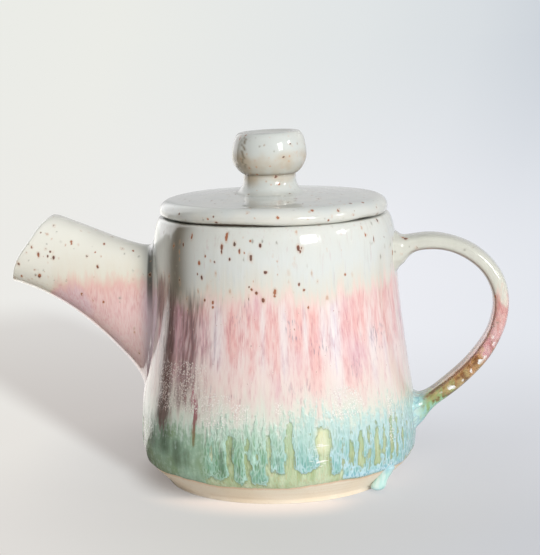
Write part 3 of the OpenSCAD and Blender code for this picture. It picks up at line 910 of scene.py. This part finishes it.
def build_web(net, given):
    """The net of pale lines in which thick glaze breaks, from 0 to 1 on the lines."""
    where = stretched(net, given)
    warped = net.shift(where, net.noise(1.4, 2.0, where, 1), 0.0022)
    cells = net.node("TexVoronoi", feature="DISTANCE_TO_EDGE", Vector=warped,
                     Scale=net.math("DIVIDE", 1000.0, given["Cell"]))
    return {"Lines": 1 - net.out(cells).step(0.02, 0.24)}


def build_melt(net, given):
    """The unevenness of a melted glaze, for bump: slow waves, streaks that ran and a faint peel."""
    slow, peel, run = net.noise(9.0, 1.0), net.noise(1.1, 1.0), streak(net, 5.0, 9.0)
    return {"Height": slow * given["Slow"] + peel * given["Peel"] + run * given["Run"]}


def build_clay(net, given):
    """Bare stoneware: sandy grain, fine rings left by the tool and the toasted line below the glaze."""
    cloud, grain = net.noise(13.0, 3.0), net.noise(0.45, 3.0)
    rings = net.noise(22.0, 2.0, stretched(net, {"Stretch": 0.04, "Offset": 0.0}))
    colour = net.over(
        net.mix(cloud.step(0.3, 0.7), "f5e4cd", "faeedd"),
        (grain.step(0.55, 0.75) * 0.22, "d3b797"),
        (rings.step(0.5, 0.7) * 0.2, "e2caab"),
        (given["Toast"], "dfab78"))
    return {"Colour": colour, "Height": grain * 0.5 + rings}


def build_paper(net, given):
    """The pale studio paper by direction, with painted light falloff: warm white on the left and a darker
    cool grey on the right.
    """
    return {"Colour": net.ramp(given["Side"], -0.2, 0.2, [
        (-0.17, "ebece7"), (-0.02, "e1e5e6"), (0.05, "d9dee2"), (0.1, "cdd3da")])}


streaks = group("running_streaks", {"Width": 2.0, "Stretch": 12.0, "Offset": 0.0}, ["Value"], build_streaks)
specks = group("scattered_specks",
               {"Spacing": 3.0, "Size": 0.2, "Amount": 0.5, "Stretch": 1.0, "Offset": 0.0},
               ["Speck", "Halo", "Kind"], build_specks)
web = group("glaze_web", {"Cell": 1.6, "Stretch": 2.5, "Offset": 0.0}, ["Lines"], build_web)
melt = group("glaze_melt", {"Slow": 0.3, "Peel": 0.1, "Run": 0.1}, ["Height"], build_melt)
clay = group("stoneware_clay", {"Toast": 0.0}, ["Colour", "Height"], build_clay)
paper = group("studio_paper", {"Side": 0.0}, ["Colour"], build_paper)


def new_material(name, look):
    """A material with an empty node tree, and the colour that it has without one."""
    material = bpy.data.materials.new(name)
    material.use_nodes = True
    material.diffuse_color = tint(look)
    material.node_tree.nodes.clear()
    return material, Net(material.node_tree)


def glossy(net, colour, roughness, height, relief, coat=0.35):
    """The glaze: a clear melted surface over its colour. Relief is the depth in mm of a height of 1."""
    bump = net.node("Bump", Strength=1.0, Distance=relief * MM, Height=height)
    shader = net.node("BsdfPrincipled", Base_Color=colour, Roughness=roughness, Coat_Weight=coat,
                      Coat_Roughness=0.05, IOR=1.5, Normal=net.out(bump))
    net.node("OutputMaterial", Surface=net.out(shader))


def iron(net, colour, amount, stretch, offset, noted):
    """Iron specks burnt through the white glaze, some nearly black, some rusty, some only a faint tan.

    The large ones of the photograph are noted: x, y, z and radius in mm, and how much taller than wide."""
    cluster = net.noise(14.0, 1.0).step(0.35, 0.7)
    bold = net.use(specks, Spacing=2.9, Size=0.2, Amount=(cluster * 0.75 + 0.12) * amount, Stretch=stretch,
                   Offset=offset)
    faint = net.use(specks, Spacing=1.9, Size=0.2, Amount=(cluster * 0.4 + 0.2) * amount, Stretch=stretch,
                    Offset=offset + 0.7)
    rusty = faint["Kind"].step(0.3, 0.6)
    frayed = net.shift(net.place(), net.noise(1.1, 2.0, output=1), 0.001)
    nearest = 9.0
    for x, y, z, radius, tall in noted:
        width = radius * 1.2 * MM
        spot = net.node("Mapping", vector_type="TEXTURE", Vector=frayed, Scale=(width, width, width * tall),
                        Location=((x + 0.5) * MM, (y + 0.5) * MM, (z + 0.5) * MM))
        nearest = net.math("MINIMUM", net.vector("LENGTH", net.out(spot), output="Value"), nearest)
    rust = net.mix(net.noise(3.0, 1.0).step(0.42, 0.6), "5b2a20", "a4603a")
    return net.over(
        colour,
        (bold["Halo"] * 0.32, "cfa684"),
        (faint["Halo"] * 0.3, net.mix(rusty, "a9a697", "d2a985")),
        (faint["Speck"] * 0.4, net.mix(rusty, "6f6a5e", "b9825a")),
        (bold["Speck"] * 0.9, net.mix(bold["Kind"].step(0.3, 0.8), "4a261c", "a9663f")),
        ((1 - nearest.step(0.9, 1.9)) * 0.35, "c79a78"),
        ((1 - nearest.step(0.75, 1.05)) * 0.92, rust))


def pink_zone(net, level, broad, fine, hair):
    """The middle of the pot: coral, rose, cream and lavender that ran into each other, with brown and painted
    shade on the left.
    """
    base = net.ramp(level, 0.0, 112.0, [
        (22, "bedccf"), (32, "d8e6d9"), (38, "e4e6d9"), (44, "eadfd5"), (50, "efdcd4"), (62, "f0d9d5"),
        (74, "eed5d1"), (82, "edd2c9"), (86, "e5d8cc"), (89, "dedcd2"), (97, "dcdfdb"), (112, "dcddd6")])
    strength = net.ramp(level, 0.0, 112.0, [
        (40, 0.0), (47, 0.35), (57, 0.7), (70, 1.0), (82, 0.95), (86, 0.0)])
    pale = net.read("pale")
    cover = net.read("pink") * 0.8 + 0.17 + (fine - 0.5) * 0.45 + (broad - 0.5) * 0.3 - pale * 0.75
    threads = hair.step(0.72, 0.95) * net.noise(7.0, 1.0).step(0.56, 0.68)
    # brown on the left, deepened into painted shade and a painted dark reflection beside the spout
    umber_and_painted_shade = (net.read("umber_and_painted_shade") + (fine - 0.5) * 0.3 + (broad - 0.5) * 0.2).step(0.1, 0.95)
    dots = net.use(specks, Spacing=1.7, Size=0.14, Amount=0.3, Stretch=1.4, Offset=1.4)
    rose = net.mix(net.noise(16.0, 1.0).step(0.4, 0.62), "eeaea8", "dda4b2")
    return net.over(
        base,
        (cover.step(0.0, 1.0) * strength * 0.85, rose),
        (pale * strength * 0.75, net.mix(fine, "f3efef", "dcdae8")),
        ((1 - hair) * strength * 0.28, "f6f0ea"),
        (hair * fine * strength * 0.38, "cf8f97"),
        (threads * strength * 0.55, "8f8f9e"),
        (umber_and_painted_shade * 0.9, net.mix(hair, "4f3731", "7d615a")),
        (dots["Halo"] * strength * 0.3, "f7efe2"),
        (dots["Speck"] * strength * 0.6, net.mix(dots["Kind"], "99546a", "b9604f")))


def green_zone(net, height, broad, fine, hair, lines, depth, inside):
    """The foot of the pot: turquoise that ran in rivulets over olive, and a murky deep green on the left,
    with painted shade beside the rivulets and on the left.
    """
    cool = (net.mm("X") + net.noise(24.0, 1.0) * 90.0 - height * 1.2).step(-5.0, 70.0)
    broken = net.noise(3.4, 2.0).step(0.36, 0.6)
    sponge = net.noise(1.0, 3.0)
    upper = height + fine * 6.0
    rim = inside * (1 - depth.step(0.3, 1.2))
    teal = net.over(
        net.mix(cool, "87b797", "90c6c3"),
        (depth.step(0.5, 2.2) * broken * 0.75, net.mix(cool, "739f70", "70a9ad")),
        (hair.step(0.5, 0.9) * depth.step(0.2, 1.2) * 0.5, net.mix(cool, "6a905a", "7fab9a")),
        (lines * (broken * 0.4 + 0.25), net.mix(cool, "cde9da", "d2ecf2")),
        (rim * (broken * 0.35 + 0.35), net.mix(cool, "c6ecdf", "cfeaf5")),
        (upper.step(22.0, 38.0) * 0.7, net.mix(cool, "cfe6d6", "d8eeeb")),
        (net.read("roll") * 0.7, net.mix(lines, "8fc0da", "cdeaf4")))
    olive = net.over(
        net.mix(broad, "b7c99b", "d9e4c6"),
        (fine * 0.35, "9db27a"),
        (hair.step(0.6, 0.9) * 0.3, "cbb07c"),
        (upper.step(22.0, 34.0) * 0.5, "a9c9a4"),
        # painted shade: darker olive along the rivulets' edges, as if cast by them
        (depth.step(-1.1, -0.2) * 0.4, "7f9560"))
    deep = net.over(
        net.mix(net.noise(9.0, 2.0).step(0.38, 0.62), "99b08a", "a9c8b0"),
        (sponge.step(0.5, 0.62) * 0.6, "c0d9c2"),
        (fine * 0.3, "76936f"))
    # murky dark green, which on the left also stands in as painted shade
    murk_and_painted_shade = (net.read("murk_and_painted_shade") * 0.75 + (sponge - 0.5) * 0.6) * net.read("murk_and_painted_shade").step(0.05, 0.3)
    scratches = net.noise(2.6, 1.0, stretched(net, {"Stretch": 0.12, "Offset": 0.0})).step(0.6, 0.66)
    return net.over(
        net.mix(inside, olive, teal),
        (net.read("deep"), deep),
        (murk_and_painted_shade, "4a5a42"),
        (net.read("cream") * 0.85, net.mix(fine, "eef0d2", "f3edbd")),
        (scratches * net.read("scratched").step(0.25, 0.6) * 0.85, "fbfaf4"))


def pot_glaze():
    """Body of the pot: white, pink, cream and turquoise rivulets over olive, painted shade on the left side,
    and bare clay at the foot.
    """
    material, net = new_material("pot_glaze", "e6cfc6")
    height = net.mm("Z")
    broad, fine, hair = streak(net, 5.0, 9.0), streak(net, 1.5, 10.0, 0.3), streak(net, 0.55, 14.0, 0.6)
    lines = net.use(web, Cell=1.15, Stretch=3.4)["Lines"]
    level = net.read("pink_level") + broad * 5.0 + fine * 3.5 - 3.5
    depth = net.read("rivulet") + (hair - 0.5) * 0.9 + (net.noise(2.0, 3.0) - 0.5) * 3.2
    inside = depth.step(-0.3, 0.4)
    ragged = (fine - 0.5) * 8.0 + (net.noise(1.0, 2.0) - 0.5) * 16.0
    above = (net.read("over_turquoise") + ragged).step(-5.0, 5.0)
    ember = (net.read("ember") + (fine - 0.5) * 0.5 + (hair - 0.5) * 0.5).step(0.25, 1.0)
    embers = net.ramp(height, 0.0, 60.0, [
        (22, "7f8052"), (29, "8d6f3c"), (34, "8f4a4a"), (40, "9c3f58"), (47, "c0808a")])
    crystals = net.use(specks, Spacing=0.64, Size=0.5, Amount=0.96, Stretch=1.2, Offset=0.9)["Speck"]
    frost = crystals * (net.read("frost") + (net.noise(4.0, 2.0) - 0.5) * 0.9).step(0.1, 0.5)
    colour = net.over(
        green_zone(net, height, broad, fine, hair, lines, depth, inside),
        (above, pink_zone(net, level, broad, fine, hair)),
        (ember * 0.85, embers),
        # frost crystals with the painted highlight at the drip's joint, greyer where the painted shade lies
        (frost * 0.8, net.mix(net.read("umber_and_painted_shade"), "fbf6f0", "dcc8bd")),
        # painted shade: the white darkened grey-brown on the left side
        (net.read("shade") * 0.95, "7f7768"))
    colour = iron(net, colour, level.step(80.0, 88.0) * 0.5, 1.9, 0.0, body_specks)
    over_line = net.read("glaze") + (fine - 0.5) * 0.25
    glazed = over_line.step(-0.1, 0.12)
    bare = 1 - glazed
    earth = net.use(clay, Toast=over_line.step(-1.4, -0.2) * 0.5)
    colour = net.mix(glazed, earth["Colour"], colour)
    waves = net.use(melt, Slow=0.3, Peel=0.04, Run=0.24)["Height"]
    green = (1 - above) * (1 - net.read("deep") * 0.7)
    relief = (waves + (lines * 0.3 + inside * 0.7) * green + frost * 0.3) * glazed
    relief = relief + earth["Height"] * bare * 0.35
    glossy(net, colour, 0.12 + frost * 0.25 + bare * 0.7, relief, 0.35, glazed * 0.35)
    return material


def spout_glaze():
    """The spout: the white and the pink of the body at the same heights, with painted shade along its root.
    """
    material, net = new_material("spout_glaze", "e9dcd2")
    x, height = net.mm("X"), net.mm("Z")
    broad, fine, hair = streak(net, 4.0, 5.0, 2.0), streak(net, 1.2, 6.0, 2.3), streak(net, 0.5, 8.0, 2.6)
    level = height + broad * 3.0 + fine * 1.6 - 2.3 + (1 - x.step(-96.0, -90.0)) * 8.0
    base = net.ramp(level, 0.0, 115.0, [
        (40, "dcbab5"), (58, "edcdc8"), (74, "f2ccc8"), (83, "f0c4ba"), (86, "eed8c9"), (89, "ede8d9"),
        (97, "efede1"), (115, "efeee4")])
    pink = 1 - level.step(80.0, 86.0)
    colour = net.over(
        base,
        (net.noise(12.0, 1.0).step(0.5, 0.66) * pink * 0.4, "d3bcd0"),
        (fine * hair * pink * 0.5, "d8969a"),
        ((1 - hair) * pink * 0.35, "f3e4df"),
        # painted shade near the root: lavender grey, darker grey higher up, and a dark crease shadow where
        # the spout meets the wall
        (x.step(-57.0, -51.0) * 0.55, net.mix(height.step(78.0, 88.0), "a8a2b2", "8f9897")),
        (x.within(-51.6, -50.0, 1.0) * height.step(68.0, 86.0) * 0.85, "484843"),
        (net.read("thin") * 0.7, "a97a5e"))
    colour = iron(net, colour, level.step(78.0, 90.0) * 0.4 + 0.2, 1.2, 3.0, spout_specks)
    glossy(net, colour, 0.1, net.use(melt, Slow=0.3, Peel=0.04, Run=0.06)["Height"], 0.35)
    return material


def handle_glaze():
    """The handle: white above, then rosy brown, ochre and green, with clay showing through at its edge and
    painted white glints on the lower arm.
    """
    material, net = new_material("handle_glaze", "dfd3c6")
    height, blot = net.mm("Z"), net.noise(2.4, 2.0)
    broad, fine = streak(net, 3.0, 4.0, 4.0), streak(net, 1.2, 4.0, 4.3)
    level = height + broad * 9.0 + fine * 3.0 - 6.0
    base = net.ramp(level, 0.0, 115.0, [
        (22, "8fc0cf"), (29, "9fc9a8"), (33, "94b174"), (37, "ae9f6c"), (44, "b1885a"), (52, "b98658"),
        (57, "cf979b"), (64, "d8a39e"), (71, "cd8c7f"), (76, "dfcabb"), (82, "d9d9cc"), (92, "d3d3c8"),
        (115, "cdcdc1")])
    burnt, rosy = level.within(34.0, 54.0, 6.0), level.within(52.0, 76.0, 4.0)
    blue = (1 - (net.mm("X") + blot * 8.0).step(62.0, 68.0)) * (1 - level.step(46.0, 54.0))
    veins = net.noise(3.2, 3.0).within(0.49, 0.52, 0.03)
    colour = net.over(
        base,
        (burnt * blot.step(0.5, 0.64) * 0.72, "744522"),
        (burnt * (1 - blot.step(0.34, 0.46)) * 0.5, "d2a97f"),
        (rosy * blot.step(0.52, 0.66) * 0.5, "cf7f83"),
        (rosy * (1 - fine) * 0.4, "ecd6d0"),
        (blue * 0.85, net.mix(blot.step(0.4, 0.6), "a6d6dd", "cfe6e4")),
        (blue * veins * 0.35, "56809c"),
        (net.read("thin") * (1 - blue) * 0.75, "80604c"))
    colour = iron(net, colour, 0.4, 1.0, 3.0, handle_specks)
    # painted highlights: broken white glints on the lower arm
    painted_glints = net.read("painted_glint") * net.noise(2.2, 1.0).step(0.54, 0.6) * height.within(37.0, 60.0, 3.0)
    colour = net.mix(painted_glints, colour, "fbfaf8")
    waves, pits = net.use(melt, Slow=0.4, Peel=0.06, Run=0.1)["Height"], net.noise(1.3, 2.0) * burnt
    glossy(net, colour, 0.1, waves + pits * 0.45, 0.35)
    return material


def lid_glaze(name, warm_low, warm_high, warmth, noted):
    """Lid and knob: cool grey white with specks, toasted beige between two heights where it is thin, and the
    knob's painted shade.
    """
    material, net = new_material(name, "dfe4e0")
    cloud = net.noise(10.0, 3.0)
    thin = net.mm("Z").within(warm_low, warm_high, 5.0) * cloud.step(0.3, 0.56)
    colour = net.over(
        net.mix(cloud.step(0.35, 0.65), "d9dedb", "e3e5df"),
        (warmth * 0.25, "b5b3a6"),
        (thin * warmth, "bda88a"),
        # painted shade in the knob's crease and on its left, with its jagged dark line
        (net.read("crease") * 0.75, "8d8270"))
    colour = iron(net, colour, 0.6, 1.0, 5.0, noted)
    glossy(net, colour, 0.1, net.use(melt, Slow=0.25, Peel=0.015, Run=0.0)["Height"], 0.3)
    return material


def drip_glaze():
    """The hanging run: pale turquoise, clear and deeper blue where it is thick."""
    material, net = new_material("drip_glaze", "8fd3cb")
    height = net.mm("Z")
    colour = net.over(
        net.mix(streak(net, 1.6, 4.0, 4.0), "b9e6df", "dcf2ec"),
        ((1 - height.step(0.5, 3.5)) * 0.6, "7cc0cd"),
        (height.step(8.0, 11.0) * 0.5, "9cc8df"))
    glossy(net, colour, 0.08, net.use(melt, Slow=0.3, Peel=0.1, Run=0.1)["Height"], 0.3)
    return material


def ring_clay():
    """The locating ring, left bare so that the lid can't stick to the mouth in the kiln."""
    material, net = new_material("ring_clay", "e2c9ab")
    earth = net.use(clay, Toast=0.1)
    bump = net.node("Bump", Strength=1.0, Distance=0.12 * MM, Height=earth["Height"])
    shader = net.node("BsdfPrincipled", Base_Color=earth["Colour"], Roughness=0.82, Normal=net.out(bump))
    net.node("OutputMaterial", Surface=net.out(shader))
    return material


def dress(piece, node, body, material):
    """Gives a finished piece its material and its body, and hides the CAD part that it stands for."""
    piece.data.materials.clear()
    piece.data.materials.append(material)
    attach(piece, body)
    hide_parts(node)


far_side(11)
dress(make_pot_body(), "pot_body", "pot", pot_glaze())
dress(make_spout(), "spout", "pot", spout_glaze())
dress(make_handle(), "handle", "pot", handle_glaze())
dress(make_drip(), "glaze_drip", "pot", drip_glaze())
dress(make_lid_plate(), "lid_plate", "lid",
      lid_glaze("lid_glaze", 111.0, 113.5, 0.2, lid_specks))
dress(make_locating_ring(), "lid_flange", "lid", ring_clay())
dress(make_knob(), "knob", "lid",
      lid_glaze("knob_glaze", 127.0, 135.0, 0.75, knob_specks))


def paper_tone(net, x, y):
    """The tone of the table as the photograph shows it, with painted light and shade by side and by how near
    the camera each place is.
    """
    reach = net.math("MAXIMUM", net.math("ABSOLUTE", y + camera_away), 0.3)
    side = net.math("DIVIDE", x, reach)
    nearness = net.math("DIVIDE", 0.307, reach)
    back = net.ramp(side, -0.2, 0.2, [(-0.2, "ecebe7"), (0.03, "edeef3"), (0.13, "e5e8ee")])
    middle = net.ramp(side, -0.2, 0.2, [(-0.17, "e7e4df"), (0.05, "dbdde2"), (0.14, "d4d6db")])
    front = net.ramp(side, -0.2, 0.2, [(-0.165, "dfdcd8"), (0.0, "d1d1ce"), (0.165, "cbcdd1")])
    return net.over(
        net.use(paper, Side=side)["Colour"],
        (nearness.step(0.0, 0.27), back),
        (nearness.step(0.3, 0.43), middle),
        (nearness.step(0.43, 0.52), front))


def cast_shadow(net, tone, x, y, distance, azimuth):
    """Paints the long soft shadow to the left, the dark line of contact shade, and the warm light off the
    clay.
    """
    along = y * shadow_cos - x * shadow_sin
    across = net.math("ABSOLUTE", x * shadow_cos + y * shadow_sin)
    shadow = (1 - across.step(0.05 - along * 0.04, 0.06 + along * 0.03)) * along.step(0.0, 0.05)
    contact = net.ramp(azimuth, -180.0, 180.0, [
        (-180, 0.9), (-150, 0.8), (-122, 0.5), (-96, 0.0), (130, 0.0), (160, 0.9), (180, 0.9)])
    warm = (1 - distance.step(0.048, 0.07)) * (0.0 - y).step(0.034, 0.046) * (1 - x.step(0.02, 0.04))
    return net.over(
        tone,
        (shadow * (1 - along.step(0.37, 0.5)) * (0.73 - along * 0.95), "b2aaa6"),
        (contact * (1 - distance.step(0.047, contact * 0.022 + 0.049)), "8f8782"),
        (warm * 0.95, "fff0e5"))


def make_floor():
    """A wide pale table that glows with its paper tone and painted shadow. The camera sees mostly that, and
    little of its light reaches the pot; in the pot's reflections it glows dim on the left and bright towards
    the back-left, a painted reflection.
    """
    bpy.ops.mesh.primitive_circle_add(vertices=96, radius=12, fill_type="NGON", location=(0, 0, 0))
    floor = bpy.context.object
    floor.name = "table"
    material, net = new_material("table_paper", "e6e4e1")
    parts = net.node("SeparateXYZ", Vector=net.place())
    x, y = net.out(parts, 0), net.out(parts, 1)
    distance = net.math("SQRT", x * x + y * y)
    azimuth = net.math("ARCTAN2", y, x) * (180 / math.pi)
    tone = cast_shadow(net, paper_tone(net, x, y), x, y, distance, azimuth)
    rays = net.node("LightPath")
    camera, mirrored = net.out(rays, "Is Camera Ray"), net.out(rays, "Is Glossy Ray")
    seen = net.math("MAXIMUM", camera, net.math("MAXIMUM", mirrored, net.out(rays, "Is Transmission Ray")))
    bounce = net.mix(x.step(-0.12, 0.02), "f2ebe4", "eef0f0")
    lit = net.node("BsdfDiffuse", Color=net.mix(camera, bounce, "f2efec"))
    # painted reflection: in mirrored rays the table glows dim on the left and front-left and brighter than
    # white towards the back-left, laying dark and pale reflections on the pot's left side
    gleam = net.ramp(azimuth, -180.0, 180.0, [
        (-180, 0.08), (-140, 0.1), (-115, 0.5), (-85, 0.9), (106, 1.0), (116, 2.1), (160, 2.1), (161, 0.08)])
    glow = net.node("Emission", Color=tone, Strength=1 + mirrored * (gleam - 1))
    net.node("OutputMaterial", Surface=net.blend(seen * (distance.step(0.06, 0.14) * 0.25 + 0.75), lit, glow))
    floor.data.materials.append(material)


def make_world():
    """A pale room for the camera. For the pot it is bright behind and on the right, and dark on the left."""
    world = bpy.data.worlds.new("studio")
    bpy.context.scene.world = world
    world.use_nodes = True
    net = Net(world.node_tree)
    net.tree.nodes.clear()
    parts = net.node("SeparateXYZ", Vector=net.out(net.node("TexCoord"), "Generated"))
    x, y, z = (net.out(parts, i) for i in range(3))
    azimuth = net.math("ARCTAN2", y, x) * (180 / math.pi)
    fill = net.ramp(azimuth, -180.0, 180.0, [
        (-180, 0.0), (-100, 0.0), (-60, 0.1), (-15, 0.36), (90, 0.55), (135, 0.4), (152, 0.0)])
    fill = net.mix(z.step(0.35, 0.9), fill, (0.14, 0.14, 0.14, 1))
    shine = net.ramp(azimuth, -180.0, 180.0, [
        (-180, 0.03), (-130, 0.06), (-75, 0.25), (-30, 0.6), (70, 0.7), (105, 0.7), (118, 2.1), (160, 2.1),
        (161, 0.03)])
    shine = net.mix(z.step(0.4, 0.9), shine, (0.5, 0.51, 0.53, 1))
    rays = net.node("LightPath")
    room = net.node("Background", Color=net.mix(net.out(rays, "Is Glossy Ray"), fill, shine), Strength=1.0)
    side = net.math("DIVIDE", x, net.math("MAXIMUM", net.math("ABSOLUTE", y), 0.05))
    backdrop = net.node("Background", Color=net.use(paper, Side=side)["Colour"], Strength=1.0)
    net.node("OutputWorld", Surface=net.blend(net.out(rays, "Is Camera Ray"), room, backdrop))


def make_window(name, azimuth, elevation, distance, width, tall, power, mirrored=True):
    """A soft window-shaped lamp that faces the middle of the pot."""
    a, e = math.radians(azimuth), math.radians(elevation)
    back = Vector((math.cos(a) * math.cos(e), math.sin(a) * math.cos(e), math.sin(e)))
    lamp = bpy.data.lights.new(name, "AREA")
    lamp.shape = "RECTANGLE"
    lamp.size, lamp.size_y, lamp.energy = width, tall, power
    placed = bpy.data.objects.new(name, lamp)
    placed.location = Vector((0, 0, body_h * 0.8)) + back * distance
    placed.rotation_euler = back.to_track_quat("Z", "Y").to_euler()
    placed.visible_camera = False
    placed.visible_glossy = mirrored
    bpy.context.scene.collection.objects.link(placed)


def make_camera():
    """The camera, where the photograph was taken from."""
    camera = bpy.data.cameras.new("camera")
    camera.lens = camera_lens
    camera.clip_start, camera.clip_end = 0.01, 40
    placed = bpy.data.objects.new("camera", camera)
    placed.location = camera_place
    placed.rotation_euler = (math.radians(90 - camera_pitch), 0, math.radians(camera_swing))
    placed.rotation_euler.rotate_axis("Z", math.radians(camera_roll))
    bpy.context.scene.collection.objects.link(placed)
    bpy.context.scene.camera = placed


make_floor()
make_world()
make_window("window_front", -53, 17, 1.5, 0.38, 0.38, 8.1)
make_window("window_right", -17, 22, 1.4, 0.2, 0.16, 2.0)
make_window("white_card", -128, 3, 1.2, 0.5, 0.3, 1.1, mirrored=False)
make_window("soft_sky", -74, 30, 1.6, 0.7, 0.7, 11, mirrored=False)
make_camera()
bpy.context.scene.view_settings.view_transform = "Standard"
